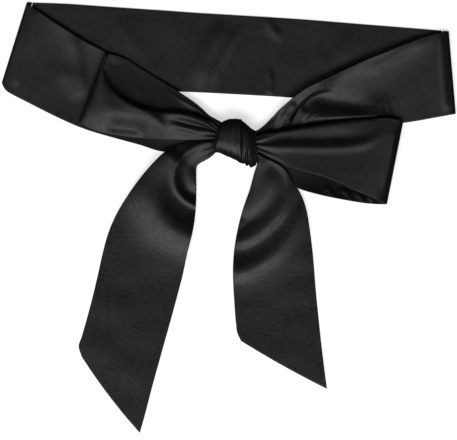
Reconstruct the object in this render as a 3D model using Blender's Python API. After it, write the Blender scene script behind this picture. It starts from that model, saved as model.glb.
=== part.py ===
"""A satin sash belt, tied in a bow and laid flat: one long strip of doubled satin in eight stretches.

Plan positions in the tables are millimetres to the right of, and below, the top-left corner of the
laid-out sash, as on a pattern drawing. Heights are millimetres above the surface that it lies on, and
they give the middle of the cloth.
"""

from collections import namedtuple

import bmesh
import bpy
import numpy as np
from mathutils import Vector
from mathutils.bvhtree import BVHTree

MM = 0.001
LAYOUT_CENTRE = (228.8, 217.5)
CLOTH = 1.2
HALF_CLOTH = CLOTH / 2
PARTING = 0.5
ON_SURFACE = HALF_CLOTH
SATIN_BLACK = (0.012, 0.012, 0.013, 1.0)
SATIN_ROUGHNESS = 0.38

# How far cloth lifts before it crosses an edge below it, and how steeply it comes down again.
REACH = 3.5
REACH_WAYS = 8
SETTLE_SLOPE = 0.22
LIFT_PASSES = 12
ABOVE_ALL = 90.0

# How much a curled edge keeps to itself: the higher, the narrower the curl.
CURL_POWER = 4

# How much of its bow the last four rows before a hem take.
HEM_BOW_SHARES = (0.15, 0.4, 0.7, 1.0)

# Faces across the strip in each kind of stretch.
ACROSS_BACK = 4
ACROSS_WAIST = 16
ACROSS_TAIL = 22
ACROSS_LOOP = 18

# A section runs across the strip, from its first edge (a) to its second (b). Crown is how far the middle
# stands above the straight line between them, curl_a and curl_b are how far each edge curls up above it,
# and steps is the number of rows up to the next section.
Section = namedtuple("Section", "ax ay az bx by bz crown curl_a curl_b steps")

# A fold is a soft ridge, or a trough where its rise is below 0. It follows a path in plan, reaches left
# and right of it, and fades in and out over shares of its length.
Fold = namedtuple("Fold", "rise left right fade_in fade_out path")


def table(kind, *rows):
    return [kind(*row) for row in rows]


# The stretch behind the waist lies flat from one side fold to the other. Edge a is the upper one.
WAIST_BACK = table(
    Section,
    (33.0, 2.6, ON_SURFACE, 8.6, 82.6, ON_SURFACE, 0, 0, 0, 1),
    (62.0, 3.6, ON_SURFACE, 46.0, 84.8, ON_SURFACE, 0, 0, 0, 1),
    (110.0, 6.8, ON_SURFACE, 100.0, 88.0, ON_SURFACE, 0, 0, 0, 1),
    (160.0, 10.2, ON_SURFACE, 150.0, 90.8, ON_SURFACE, 0, 0, 0, 1),
    (200.0, 13.0, ON_SURFACE, 192.0, 92.2, ON_SURFACE, 0, 0, 0, 1),
    (250.0, 16.0, ON_SURFACE, 240.0, 94.6, ON_SURFACE, 0, 0, 0, 1),
    (300.0, 19.2, ON_SURFACE, 293.0, 97.8, ON_SURFACE, 0, 0, 0, 1),
    (350.0, 23.2, ON_SURFACE, 346.0, 102.2, ON_SURFACE, 0, 0, 0, 1),
    (400.0, 27.2, ON_SURFACE, 399.0, 107.2, ON_SURFACE, 0, 0, 0, 1),
    (441.8, 30.6, ON_SURFACE, 448.4, 112.4, ON_SURFACE, 0, 0, 0, 1),
)

# From under the left side fold, round it, and over the back stretch to the knot.
WAIST_LEFT = table(
    Section,
    (32.4, 2.4, 0.6, 8.0, 82.4, 0.6, 0, 0, 0, 1),
    (29.3, 2.1, 0.7, 4.8, 82.2, 0.7, 0, 0, 0, 2),
    (27.6, 2.2, 1.6, 2.8, 82.2, 1.5, 0, 0, 0, 2),
    (27.1, 2.6, 3.0, 2.0, 82.9, 2.8, 0, 0, 0, 2),
    (27.9, 3.6, 4.4, 2.8, 85.4, 4.2, 0, 0, 0, 1),
    (30.2, 5.6, 5.2, 5.4, 90.2, 4.8, 0.3, 0, 0, 1),
    (35.0, 8.8, 5.2, 11.6, 94.2, 4.8, 0.4, 0.8, 0, 1),
    (42.0, 13.6, 4.4, 20.0, 98.6, 4.0, 0.2, 1.8, 0, 1),
    (52.0, 20.5, 3.4, 31.0, 104.2, 3.0, 0, 3.0, 0, 1),
    (66.0, 29.5, 2.8, 46.0, 111.8, 2.4, 0, 4.0, 0, 1),
    (80.0, 38.5, 2.6, 62.0, 119.6, 2.0, 0, 4.6, 0, 1),
    (94.0, 46.0, 2.6, 76.0, 125.8, 1.6, 0, 4.6, 0, 1),
    (112.0, 54.8, 2.6, 90.0, 131.0, 1.2, 0, 4.0, 0, 1),
    (131.0, 64.5, 2.6, 114.0, 138.0, 0.9, 0, 3.2, 0, 1),
    (151.0, 77.5, 2.6, 139.0, 144.8, 0.7, 0, 2.8, 0, 1),
    (173.0, 91.0, 2.8, 163.5, 151.8, 0.7, 0, 2.6, 0, 1),
    (190.0, 102.8, 3.2, 184.0, 151.0, 0.9, 0, 2.0, 0, 1),
    (203.0, 112.2, 4.2, 200.0, 147.0, 2.0, 0, 1.2, 0, 2),
    (213.0, 119.2, 5.6, 211.0, 142.0, 3.6, 0, 0.4, 0, 2),
    (220.8, 126.8, 6.4, 219.0, 140.5, 4.6, 0, 0, 0, 1),
)
# Rows of both front stretches up to where the cloth has turned round its side fold.
ROWS_IN_SIDE_FOLD = 9
WAIST_LEFT_FOLDS = table(
    Fold,
    (1.6, 8, 8, 0.3, 0.3, ((74, 36), (80, 60), (72, 84), (60, 100))),
)

# From under the right side fold, round it, and over the back stretch to the knot.
WAIST_RIGHT = table(
    Section,
    (442.4, 30.8, 0.6, 449.0, 112.6, 0.6, 0, 0, 0, 1),
    (445.8, 31.0, 0.7, 452.6, 113.0, 0.7, 0, 0, 0, 2),
    (447.9, 31.2, 1.6, 454.8, 113.4, 1.5, 0, 0, 0, 2),
    (448.5, 31.3, 3.0, 455.5, 113.8, 2.8, 0, 0, 0, 2),
    (447.5, 31.6, 4.4, 454.6, 114.2, 4.2, 0, 0, 0, 1),
    (444.2, 32.2, 5.3, 451.4, 114.8, 5.0, 0.3, 0, 0, 1),
    (439.0, 33.0, 5.4, 446.0, 115.8, 5.0, 0.4, 0.6, 0, 1),
    (431.0, 35.2, 4.6, 437.0, 117.4, 4.0, 0.2, 2.0, 0, 1),
    (419.0, 38.9, 3.8, 424.0, 119.8, 2.6, 0.2, 4.2, 0, 2),
    (404.0, 44.6, 3.4, 408.0, 122.4, 1.5, 0.4, 6.6, 0, 3),
    (385.0, 52.3, 3.4, 388.0, 124.2, 1.0, 0.6, 8.6, 0, 3),
    (365.0, 60.5, 3.6, 366.0, 125.2, 0.7, 0.9, 9.6, 0, 3),
    (345.0, 69.8, 3.8, 344.0, 127.0, 0.7, 1.3, 9.6, 0, 3),
    (325.0, 79.3, 4.0, 322.0, 129.0, 0.7, 1.2, 8.4, 0, 3),
    (307.0, 86.5, 4.2, 303.0, 131.5, 0.9, 0.6, 6.8, 0, 2),
    (294.0, 95.4, 4.6, 288.0, 134.0, 1.4, 0.6, 5.0, 0, 1),
    (282.0, 106.8, 5.2, 276.0, 137.0, 2.2, 0.6, 3.4, 0, 1),
    (270.6, 119.0, 5.8, 266.0, 139.5, 3.0, 0.5, 1.8, 0, 1),
    (259.2, 129.9, 6.6, 258.0, 142.0, 4.6, 0.3, 0.4, 0, 1),
    (252.4, 137.0, 6.8, 251.0, 145.0, 5.6, 0, 0, 0, 1),
)
WAIST_RIGHT_FOLDS = table(
    Fold,
    (6.0, 5, 7, 0.15, 0.35, ((286, 126), (295, 113), (303, 100), (313, 91),
                             (326, 87), (340, 92), (350, 103))),
    (-2.4, 9, 9, 0.3, 0.4, ((306, 114), (324, 107), (344, 109), (366, 113))),
    (2.4, 3, 4, 0.3, 0.2, ((277, 133), (286, 121), (292, 109), (300, 98))),
    (1.8, 3, 4, 0.3, 0.3, ((438, 37), (412, 47), (385, 62), (352, 76))),
)

# The left tail leaves the knot under the left loop, turns down and runs out to a slanted end. Edge a is
# the outer, left one.
TAIL_LEFT = table(
    Section,
    (219.5, 141.0, 8.6, 214.4, 146.4, 7.4, 0, 0, 0, 1),
    (213.8, 141.0, 8.4, 212.8, 153.4, 5.4, 0.3, 0, 0, 2),
    (203.0, 141.4, 7.2, 207.0, 159.4, 4.4, 1.2, 0, 0, 2),
    (192.0, 142.0, 6.6, 200.0, 163.4, 3.6, 2.2, 0, 0, 2),
    (180.0, 144.6, 6.0, 197.0, 166.2, 3.6, 3.4, 0, 0, 2),
    (170.0, 148.2, 5.4, 196.3, 172.0, 3.4, 4.2, 0, 0, 2),
    (162.8, 153.4, 4.8, 196.4, 180.0, 3.2, 4.8, 0, 0, 2),
    (154.0, 162.0, 4.0, 196.5, 190.0, 2.8, 5.2, 0, 0, 2),
    (145.0, 172.0, 3.2, 196.3, 201.0, 2.4, 5.4, 0, 0, 2),
    (136.0, 183.5, 2.6, 195.6, 212.0, 2.0, 5.2, 0, 0, 2),
    (127.0, 196.5, 2.0, 194.2, 224.0, 1.6, 4.4, 0, 0, 2),
    (117.5, 212.0, 1.4, 191.6, 237.0, 1.2, 3.0, 0, 0, 2),
    (109.5, 229.5, 0.9, 187.6, 252.0, 0.8, 1.4, 0, 0, 1),
    (103.4, 250.0, 0.6, 183.0, 274.0, 0.6, 0.4, 0, 0, 1),
    (98.0, 274.0, 0.6, 176.8, 298.0, 0.6, 0, 0, 0, 1),
    (91.8, 300.0, 0.6, 168.6, 328.0, 0.6, 0, 0, 0, 1),
    (86.2, 321.0, 0.6, 160.2, 358.0, 0.6, 0, 0, 0, 1),
    (81.6, 337.0, 0.6, 151.4, 390.0, 0.6, 0, 0, 0, 1),
    (78.7, 347.5, 0.6, 144.4, 417.0, 0.6, 0, 0, 0, 1),
    (81.6, 356.6, 0.6, 139.8, 433.0, 0.6, 0, 0, 0, 1),
)
TAIL_LEFT_HEM_BOW = 2.0
TAIL_LEFT_FOLDS = table(
    Fold,
    (6.0, 4, 6, 0.1, 0.25, ((218, 143), (202, 143.8), (189, 150.5), (178, 160), (172, 169),
                             (171, 180), (175, 191), (184, 201), (197, 208))),
    (-3.0, 5, 5, 0.3, 0.3, ((200, 152), (187, 163), (181, 178), (186, 192), (195, 199))),
    (-4.6, 7, 7, 0.25, 0.2, ((160, 178), (161, 198), (169, 213), (183, 223), (196, 227))),
    (3.0, 9, 12, 0.3, 0.2, ((152, 168), (145, 188), (147, 208), (158, 225), (176, 236), (192, 241))),
)

# The left loop goes out from the knot as its rear layer, round its fold and back as its front layer.
# Edge a is the upper one.
LOOP_LEFT = table(
    Section,
    (221.0, 126.0, 9.6, 219.0, 138.0, 9.2, 0, 0, 0, 1),
    (212.0, 117.6, 9.4, 211.0, 139.0, 9.2, 0, 0, 0, 1),
    (200.0, 106.6, 8.4, 198.0, 138.6, 8.8, 0, 0, 0, 1),
    (182.0, 93.8, 7.6, 180.0, 138.0, 7.0, 0, 0, 0, 1),
    (160.0, 80.2, 7.0, 157.0, 137.2, 4.8, 0, 0, 0, 1),
    (140.0, 67.6, 7.0, 134.0, 136.2, 4.0, 0, 0, 0, 1),
    (124.0, 57.8, 7.6, 112.0, 133.8, 3.8, 0, 0, 0, 1),
    (114.0, 54.6, 8.0, 94.0, 130.0, 3.8, 0, 0, 0, 1),
    (109.2, 53.9, 8.2, 86.4, 127.2, 3.9, 0, 0, 0, 2),
    (106.6, 53.6, 9.0, 81.8, 124.4, 4.6, 0, 0, 0, 2),
    (105.4, 53.8, 10.6, 79.4, 122.0, 6.0, 0, 0, 0, 2),
    (105.8, 54.6, 12.2, 80.0, 122.2, 7.6, 0, 0, 0, 1),
    (106.2, 56.0, 13.4, 82.4, 123.6, 8.4, 0.6, 0, 0, 1),
    (105.8, 59.0, 14.4, 86.6, 126.4, 8.4, 1.4, 0, 0, 1),
    (104.4, 64.0, 15.6, 92.0, 129.6, 7.6, 2.2, 0, 0, 1),
    (104.4, 71.0, 16.8, 98.6, 132.2, 6.8, 3.0, 0, 0, 1),
    (106.6, 79.0, 17.8, 106.0, 133.8, 6.4, 3.6, 0, 0, 1),
    (112.0, 88.0, 18.6, 114.0, 135.2, 6.2, 4.0, 0, 0, 1),
    (120.4, 96.2, 19.2, 123.0, 136.6, 6.2, 4.2, 0, 0, 1),
    (130.6, 103.2, 19.4, 133.0, 137.8, 6.6, 4.0, 0, 0, 1),
    (142.0, 108.6, 19.2, 144.0, 138.8, 7.4, 3.6, 0, 0, 2),
    (154.0, 111.4, 18.6, 156.0, 139.6, 8.6, 3.0, 0, 0, 2),
    (168.0, 112.2, 17.8, 170.0, 140.0, 10.0, 2.2, 0, 0, 2),
    (184.0, 113.4, 17.0, 186.0, 140.2, 11.4, 1.4, 0, 0, 2),
    (199.0, 116.8, 15.8, 200.0, 140.0, 12.4, 0.8, 0, 0, 2),
    (211.5, 122.4, 14.0, 211.5, 139.2, 12.4, 0.3, 0, 0, 2),
    (220.5, 129.8, 12.0, 219.0, 138.0, 11.6, 0, 0, 0, 1),
)
LOOP_LEFT_TURN = 10
LOOP_LEFT_FOLDS = table(
    Fold,
    (3.0, 5, 5, 0.15, 0.25, ((106, 66), (113, 85), (128, 99), (143, 108), (154, 119), (160, 133))),
    (2.6, 11, 9, 0.25, 0.3, ((88, 118), (106, 110), (124, 110), (143, 115), (156, 126))),
    (-2.4, 4, 4, 0.3, 0.3, ((100, 129), (118, 131.5), (138, 132), (150, 133))),
    (2.4, 4, 4, 0.3, 0.2, ((158, 115), (178, 114.5), (200, 120), (216, 127))),
    (-2.4, 3, 3, 0.3, 0.1, ((168, 119), (188, 124), (206, 128), (218, 132))),
    (2.0, 3, 3, 0.3, 0.3, ((166, 124), (184, 128), (199, 133), (214, 135))),
)

# The right loop, made the same way. Edge a is the upper one.
LOOP_RIGHT = table(
    Section,
    (249.5, 138.5, 9.0, 249.5, 148.0, 9.0, 0, 0, 0, 1),
    (262.0, 135.4, 8.2, 260.0, 158.0, 4.4, 0, 0, 0, 1),
    (276.0, 133.4, 6.4, 276.0, 175.0, 1.8, 0, 0, 0, 1),
    (294.0, 130.6, 4.6, 297.0, 188.0, 0.9, 0, 0, 1.6, 1),
    (314.0, 127.6, 3.2, 320.0, 195.0, 0.7, 0, 0, 3.4, 1),
    (336.0, 124.6, 2.4, 342.0, 199.6, 0.6, 0, 0, 4.0, 1),
    (360.0, 122.2, 2.2, 364.0, 203.2, 0.6, 0, 0, 2.6, 1),
    (382.0, 121.0, 2.2, 376.0, 204.2, 0.6, 0, 0, 0.8, 1),
    (394.8, 121.0, 2.4, 381.8, 204.4, 0.7, 0, 0, 0, 2),
    (400.6, 121.4, 3.2, 385.4, 204.4, 1.4, 0, 0, 0, 2),
    (403.2, 122.4, 5.0, 386.8, 204.2, 2.8, 0, 0, 0, 2),
    (402.0, 121.4, 8.0, 386.0, 203.8, 4.6, 0.4, 0, 0, 1),
    (398.4, 119.6, 10.4, 382.4, 202.2, 6.0, 1.0, 0, 0, 1),
    (393.0, 118.4, 12.6, 377.4, 200.4, 7.2, 1.6, 0, 0, 1),
    (384.0, 118.0, 14.4, 370.0, 197.0, 8.4, 2.0, 0, 0, 2),
    (370.0, 118.6, 16.0, 360.0, 193.0, 9.6, 2.2, 0, 0, 2),
    (354.0, 120.0, 17.0, 349.0, 188.0, 10.6, 2.2, 0, 0, 2),
    (336.0, 122.2, 17.4, 334.0, 181.0, 11.6, 2.0, 0, 0, 2),
    (318.0, 124.8, 17.4, 317.0, 175.0, 12.4, 1.8, 0, 0, 2),
    (300.0, 127.6, 17.0, 301.0, 170.8, 12.8, 1.6, 0, 0, 2),
    (285.0, 130.2, 16.2, 288.0, 166.8, 13.0, 1.4, 0, 0, 1),
    (272.0, 132.6, 15.0, 275.0, 160.0, 13.0, 1.0, 0, 0, 1),
    (262.0, 134.6, 13.8, 263.0, 154.0, 12.8, 0.6, 0, 0, 1),
    (255.5, 137.0, 12.6, 255.5, 150.4, 12.4, 0.3, 0, 0, 1),
    (249.0, 139.4, 12.0, 249.0, 148.6, 12.2, 0, 0, 0, 1),
)
LOOP_RIGHT_TURN = 10
LOOP_RIGHT_FOLDS = table(
    Fold,
    (-6.4, 6, 6, 0.25, 0.3, ((254, 142), (285, 142.5), (320, 142.5), (350, 140), (376, 132))),
    (2.6, 5, 7, 0.2, 0.25, ((266, 149), (300, 150), (344, 149.5), (366, 145), (379, 136), (385, 124))),
    (1.6, 4, 4, 0.3, 0.3, ((395, 123), (395, 134), (387, 147), (370, 158))),
    (-1.4, 5, 5, 0.3, 0.3, ((296, 165), (318, 170), (342, 180), (360, 189))),
)

# The right tail leaves the knot at its lower right. Edge a is the inner, left one.
TAIL_RIGHT = table(
    Section,
    (251.5, 159.6, 8.8, 251.0, 153.0, 9.0, 0, 0, 0, 1),
    (257.4, 163.6, 7.8, 258.0, 154.2, 9.4, 0.4, 0, 0, 2),
    (254.9, 171.0, 6.0, 265.0, 158.4, 9.6, 1.0, 0, 0, 2),
    (252.4, 179.6, 4.8, 275.0, 162.6, 9.2, 2.0, 0, 0, 3),
    (249.6, 190.0, 3.6, 284.5, 169.0, 8.0, 3.0, 0, 0, 3),
    (245.4, 201.5, 2.6, 291.0, 178.4, 6.4, 4.0, 0, 0, 2),
    (241.2, 214.5, 1.8, 298.2, 189.2, 4.6, 4.6, 0, 0, 2),
    (237.6, 229.0, 1.2, 303.6, 200.4, 3.2, 4.6, 0, 0, 2),
    (234.8, 244.5, 0.9, 307.2, 213.0, 2.2, 4.2, 0, 0, 2),
    (233.2, 260.0, 0.7, 309.6, 228.0, 1.5, 3.4, 0, 0, 2),
    (232.9, 275.0, 0.6, 312.0, 246.0, 1.0, 2.4, 0, 0, 2),
    (233.4, 289.0, 0.6, 314.0, 267.0, 0.7, 1.2, 0, 0, 1),
    (234.2, 302.0, 0.6, 315.8, 290.0, 0.6, 0.4, 0, 0, 1),
    (235.0, 314.0, 0.6, 318.4, 316.0, 0.6, 0, 0, 0, 1),
    (236.0, 324.4, 0.6, 321.0, 341.0, 0.6, 0, 0, 0, 1),
    (237.2, 333.0, 0.6, 324.0, 366.0, 0.6, 0, 0, 0, 1),
    (241.0, 341.0, 0.6, 327.0, 389.0, 0.6, 0, 0, 0, 1),
)
TAIL_RIGHT_HEM_BOW = 1.2
TAIL_RIGHT_FOLDS = table(
    Fold,
    (6.0, 7, 5.5, 0.1, 0.15, ((262, 158), (275, 163), (283, 171), (286.5, 184), (286, 198), (280, 211),
                            (270, 223), (257, 235), (243, 246), (234, 253))),
    (-5.0, 7, 7, 0.2, 0.2, ((296, 192), (296, 208), (289, 225), (276, 241), (261, 254), (243, 264))),
    (4.0, 6, 7, 0.2, 0.15, ((307, 212), (301, 229), (291, 245), (278, 260),
                            (261, 272), (244, 278), (233, 272))),
    (-3.4, 6, 6, 0.4, 0.3, ((258, 162), (266, 169), (273, 180), (275, 191))),
    (-3.0, 7, 7, 0.3, 0.2, ((274, 196), (264, 212), (250, 227), (238, 236))),
    (1.8, 3, 4, 0.3, 0.3, ((256, 171), (264, 176), (274, 184))),
)

# The knot is one rounded lump of wrapped cloth. Each ring stands on a line in plan from its upper to its
# lower outline, and height is how tall it is there.
Ring = namedtuple("Ring", "top_x top_y low_x low_y height")
KNOT = table(
    Ring,
    (222.4, 122.8, 215.8, 148.4, 17.0),
    (224.4, 121.0, 218.0, 152.6, 20.0),
    (228.0, 119.2, 222.2, 155.2, 22.4),
    (233.0, 119.0, 229.0, 157.8, 24.0),
    (238.0, 120.2, 236.0, 161.4, 24.6),
    (241.2, 121.2, 240.6, 163.8, 24.4),
    (243.0, 122.6, 242.6, 163.6, 22.4),
    (247.0, 125.2, 247.4, 166.0, 22.2),
    (251.2, 128.2, 252.0, 167.9, 20.6),
    (254.8, 130.4, 255.6, 166.0, 17.6),
)
KNOT_SIDES = 28
KNOT_SQUARENESS = 2.4

# Each mouth of the knot turns in over a soft lip and narrows towards its floor.
MOUTH_WALL = 2.0
MOUTH_FLOOR_WALL = 3.0
MOUTH_DEPTH = 7.0
LIP_OUT = 0.5
LIP_IN = 0.4


def in_metres(points):
    """Layout points, in millimetres, as points of the part's frame."""
    x, y, z = np.moveaxis(np.asarray(points, float), -1, 0)
    return np.stack([x - LAYOUT_CENTRE[0], LAYOUT_CENTRE[1] - y, z], axis=-1) * MM


def along_curve(knots, values, at):
    """Smooth curve through the values at the knots, read at other places along it."""
    slopes = np.gradient(values, knots, axis=0)
    i = np.clip(np.searchsorted(knots, at, side="right") - 1, 0, len(knots) - 2)
    span = (knots[i + 1] - knots[i])[:, None]
    t = (at - knots[i])[:, None] / span
    start = (1 + 2 * t) * (1 - t) ** 2 * values[i] + t * (1 - t) ** 2 * span * slopes[i]
    end = t**2 * (3 - 2 * t) * values[i + 1] + t**2 * (t - 1) * span * slopes[i + 1]
    return start + end


def strip(sections, across, hem_bow=0.0):
    """Grid of points along and across a strip, and the section number that each row is nearest to.

    A hem that bows outwards pulls the rows just before it along.
    """
    rows = np.array([section[:-1] for section in sections], float)
    middle = (rows[:, 0:3] + rows[:, 3:6]) / 2
    gaps = np.linalg.norm(np.diff(middle, axis=0), axis=1)
    knots = np.concatenate([[0], np.cumsum(gaps)])
    at = [knots[0]]
    number = [0.0]
    for i, section in enumerate(sections[:-1]):
        for k in range(1, section.steps + 1):
            share = k / section.steps
            at.append(knots[i] + share * gaps[i])
            number.append(i + share)
    rows = along_curve(knots, rows, np.array(at))
    v = np.linspace(0, 1, across + 1)[None, :, None]
    grid = rows[:, None, 0:3] * (1 - v) + rows[:, None, 3:6] * v
    across_it = v[..., 0]
    arch = 4 * across_it * (1 - across_it)
    grid[..., 2] += rows[:, None, 6] * arch
    grid[..., 2] += rows[:, None, 7] * (1 - across_it) ** CURL_POWER
    grid[..., 2] += rows[:, None, 8] * across_it**CURL_POWER
    hem = grid[-1, -1, :2] - grid[-1, 0, :2]
    outwards = np.array([-hem[1], hem[0]]) / np.linalg.norm(hem)
    for row, share in enumerate(HEM_BOW_SHARES, start=-len(HEM_BOW_SHARES)):
        grid[row, :, :2] += (hem_bow * share * arch[0])[:, None] * outwards
    return grid, np.array(number)


def smooth_step(x):
    x = np.clip(x, 0, 1)
    return x * x * (3 - 2 * x)


def fold_rise(grid, folds):
    """How far the folds lift each point of the grid."""
    rise = np.zeros(grid.shape[:2])
    for fold in folds:
        path = np.array(fold.path, float)
        knots = np.concatenate([[0], np.cumsum(np.linalg.norm(np.diff(path, axis=0), axis=1))])
        at = np.linspace(0, knots[-1], 8 * len(path))
        line = along_curve(knots, path, at)
        away = grid[:, :, None, :2] - line
        distance = np.linalg.norm(away, axis=-1)
        nearest = distance.argmin(axis=-1)
        ahead = np.gradient(line, axis=0)[nearest]
        offset = np.take_along_axis(away, nearest[..., None, None], axis=2)[:, :, 0]
        side = ahead[..., 0] * offset[..., 1] - ahead[..., 1] * offset[..., 0]
        width = np.where(side < 0, fold.left, fold.right)
        share = at[nearest] / knots[-1]
        fade = smooth_step(share / fold.fade_in) * smooth_step((1 - share) / fold.fade_out)
        reach = np.take_along_axis(distance, nearest[..., None], axis=2)[..., 0] / width
        rise += fold.rise * fade * np.exp(-(reach**2))
    return rise


def lie_on(grid, below, first_row=0):
    """Lifts a grid clear of the surface and of the stretches below it, easing down beyond their edges."""
    ways = np.arange(REACH_WAYS) * 2 * np.pi / REACH_WAYS
    spots = [(0, 0)] + [(REACH * np.cos(way), REACH * np.sin(way)) for way in ways]
    floor = np.full(grid.shape[:2], ON_SURFACE)
    for tree in below:
        for index in np.ndindex(floor.shape):
            if index[0] < first_row:
                continue
            x, y, _ = grid[index]
            for dx, dy in spots:
                start = Vector(in_metres((x + dx, y + dy, ABOVE_ALL)))
                hit = tree.ray_cast(start, Vector((0, 0, -1)))[0]
                if hit is not None:
                    floor[index] = max(floor[index], hit.z / MM + PARTING + HALF_CLOTH)
    lift = np.maximum(floor - grid[..., 2], 0)
    for _ in range(LIFT_PASSES):
        for axis in (0, 1):
            step = np.linalg.norm(np.diff(grid[..., :2], axis=axis), axis=-1) * SETTLE_SLOPE
            first = [slice(None)] * 2
            second = [slice(None)] * 2
            first[axis], second[axis] = slice(0, -1), slice(1, None)
            first, second = tuple(first), tuple(second)
            lift[first] = np.maximum(lift[first], lift[second] - step)
            lift[second] = np.maximum(lift[second], lift[first] - step)
    grid[..., 2] += lift
    return grid


def satin():
    material = bpy.data.materials.new("black_satin")
    material.use_nodes = True
    shader = material.node_tree.nodes["Principled BSDF"]
    shader.inputs["Base Color"].default_value = SATIN_BLACK
    shader.inputs["Roughness"].default_value = SATIN_ROUGHNESS
    shader.inputs["Metallic"].default_value = 0.0
    material.diffuse_color = SATIN_BLACK
    return material


def solid(name, points, faces):
    """A closed body from points in the layout's millimetres."""
    mesh = bpy.data.meshes.new(name)
    mesh.from_pydata([tuple(p) for p in in_metres(points)], [], faces)
    shape = bmesh.new()
    shape.from_mesh(mesh)
    bmesh.ops.recalc_face_normals(shape, faces=shape.faces)
    shape.to_mesh(mesh)
    shape.free()
    mesh.shade_smooth()
    mesh.materials.append(satin())
    body = bpy.data.objects.new(name, mesh)
    bpy.context.scene.collection.objects.link(body)
    return body


def top_of(body):
    """What later stretches lie on."""
    bpy.context.view_layer.update()
    return BVHTree.FromObject(body, bpy.context.evaluated_depsgraph_get())


def cloth(name, grid):
    """The strip's middle surface, given its thickness on both sides and closed round its four edges."""
    along = np.gradient(grid, axis=0)
    across = np.gradient(grid, axis=1)
    normal = np.cross(along, across)
    normal /= np.linalg.norm(normal, axis=-1, keepdims=True)
    rows, columns = grid.shape[:2]
    outer = (grid + normal * HALF_CLOTH).reshape(-1, 3)
    inner = (grid - normal * HALF_CLOTH).reshape(-1, 3)
    n = rows * columns
    faces = []
    for i in range(rows - 1):
        for j in range(columns - 1):
            a = i * columns + j
            quad = (a, a + 1, a + columns + 1, a + columns)
            faces.append(quad)
            faces.append(tuple(n + k for k in reversed(quad)))
    first_edge = [i * columns for i in range(rows)]
    second_edge = [i * columns + columns - 1 for i in range(rows)]
    start = list(range(columns))
    end = list(range((rows - 1) * columns, n))
    for edge in (first_edge, second_edge, start, end):
        for a, b in zip(edge, edge[1:]):
            faces.append((a, b, n + b, n + a))
    return solid(name, np.concatenate([outer, inner]), faces)


def ring_points(ring, inset=0.0, shift=0.0):
    """Points round one ring of the knot, set in from its outside and moved along the knot."""
    top = np.array([ring.top_x, ring.top_y])
    low = np.array([ring.low_x, ring.low_y])
    middle, half = (top + low) / 2, (top - low) / 2
    length = np.linalg.norm(half)
    across = half / length * (length - inset)
    tall = ring.height / 2 - inset
    angle = np.arange(KNOT_SIDES) * 2 * np.pi / KNOT_SIDES
    side = np.sign(np.cos(angle)) * np.abs(np.cos(angle)) ** (2 / KNOT_SQUARENESS)
    up = np.sign(np.sin(angle)) * np.abs(np.sin(angle)) ** (2 / KNOT_SQUARENESS)
    x = middle[0] + side * across[0] + shift
    y = middle[1] + side * across[1]
    return np.stack([x, y, ring.height / 2 + up * tall], axis=-1)


def knot():
    """The knot's lump, with a hollow mouth at each end that the gathered stretches go into."""
    left, right = KNOT[0], KNOT[-1]
    rings = [
        ring_points(left, MOUTH_FLOOR_WALL, MOUTH_DEPTH),
        ring_points(left, MOUTH_WALL, LIP_IN),
        ring_points(left, MOUTH_WALL / 2, -LIP_OUT),
        *[ring_points(ring) for ring in KNOT],
        ring_points(right, MOUTH_WALL / 2, LIP_OUT),
        ring_points(right, MOUTH_WALL, -LIP_IN),
        ring_points(right, MOUTH_FLOOR_WALL, -MOUTH_DEPTH),
    ]
    points = np.concatenate(rings)
    faces = []
    for i in range(len(rings) - 1):
        for j in range(KNOT_SIDES):
            a, b = i * KNOT_SIDES + j, i * KNOT_SIDES + (j + 1) % KNOT_SIDES
            faces.append((a, b, b + KNOT_SIDES, a + KNOT_SIDES))
    faces.append(tuple(range(KNOT_SIDES)))
    faces.append(tuple(range(len(points) - KNOT_SIDES, len(points))))
    return solid("knot", points, faces)


def folded(sections, folds, across, turn=0, hem_bow=0.0):
    """A strip with its folds. Those of a loop are on its front layer, past its turn."""
    grid, number = strip(sections, across, hem_bow)
    share = smooth_step(number - turn) if turn else np.ones(len(number))
    grid[..., 2] += fold_rise(grid, folds) * share[:, None]
    return grid


def main():
    for old in list(bpy.data.objects):
        bpy.data.objects.remove(old)
    back = top_of(cloth("waist_back", strip(WAIST_BACK, ACROSS_BACK)[0]))
    left = folded(WAIST_LEFT, WAIST_LEFT_FOLDS, ACROSS_WAIST)
    left = top_of(cloth("waist_front_left", lie_on(left, [back], ROWS_IN_SIDE_FOLD)))
    right = folded(WAIST_RIGHT, WAIST_RIGHT_FOLDS, ACROSS_WAIST)
    right = top_of(cloth("waist_front_right", lie_on(right, [back], ROWS_IN_SIDE_FOLD)))
    tail = folded(TAIL_LEFT, TAIL_LEFT_FOLDS, ACROSS_TAIL, hem_bow=TAIL_LEFT_HEM_BOW)
    tail = top_of(cloth("tail_left", lie_on(tail, [left])))
    loop = folded(LOOP_LEFT, LOOP_LEFT_FOLDS, ACROSS_LOOP, LOOP_LEFT_TURN)
    cloth("bow_loop_left", lie_on(loop, [left, tail]))
    loop = folded(LOOP_RIGHT, LOOP_RIGHT_FOLDS, ACROSS_LOOP, LOOP_RIGHT_TURN)
    cloth("bow_loop_right", lie_on(loop, [right]))
    tail = folded(TAIL_RIGHT, TAIL_RIGHT_FOLDS, ACROSS_TAIL, hem_bow=TAIL_RIGHT_HEM_BOW)
    cloth("tail_right", lie_on(tail, []))
    knot()


main()
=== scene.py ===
"""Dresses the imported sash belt: black satin, tied in a bow and laid flat, seen from straight above.

Plan positions in the tables are millimetres right of and below the top-left corner of the laid-out sash,
as in the part's own source, and heights are millimetres above the surface that it lies on.
"""

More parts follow.
